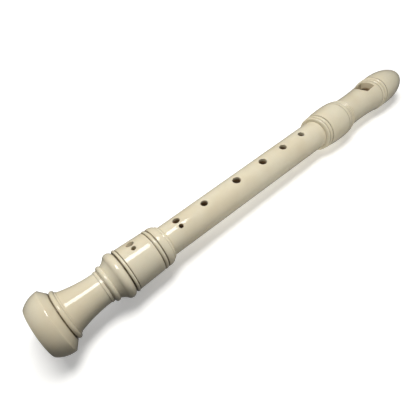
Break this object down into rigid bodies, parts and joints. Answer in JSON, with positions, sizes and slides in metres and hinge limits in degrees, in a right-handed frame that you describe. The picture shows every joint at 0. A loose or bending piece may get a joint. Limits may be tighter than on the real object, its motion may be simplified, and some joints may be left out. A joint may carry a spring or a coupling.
{
  "type": "soprano recorder",
  "caption": "Small duct flute in three joints, with a beaked mouthpiece, a finger-holed tube and a flared bell.",
  "frame": {"origin": "below the middle of the tube's length, at the height of the bell's lowest point", "axes": "+X along the tube from the bell to the beak, +Z towards the finger holes, -Y towards the small hole of each pair"},
  "size_m": [0.3229, 0.0344, 0.0344],
  "materials": {
    "ivory_shell": "polished moulded ABS",
    "ivory_inner": "satin moulded ABS"
  },
  "bodies": {
    "middle": {"middle_joint": "ivory_shell"},
    "head": {"head_joint": "ivory_shell", "windway_block": "ivory_inner"},
    "foot": {"foot_joint": "ivory_shell", "foot_liner": "ivory_inner"}
  },
  "joints": [
    {"name": "head_pull", "type": "slide", "parent": "middle", "child": "head", "axis": [1, 0, 0], "range_m": [0, 0.03]},
    {"name": "foot_turn", "type": "hinge", "parent": "middle", "child": "foot", "pos_m": [-0.095, 0, 0.0172], "axis": [1, 0, 0], "continuous": true}
  ]
}
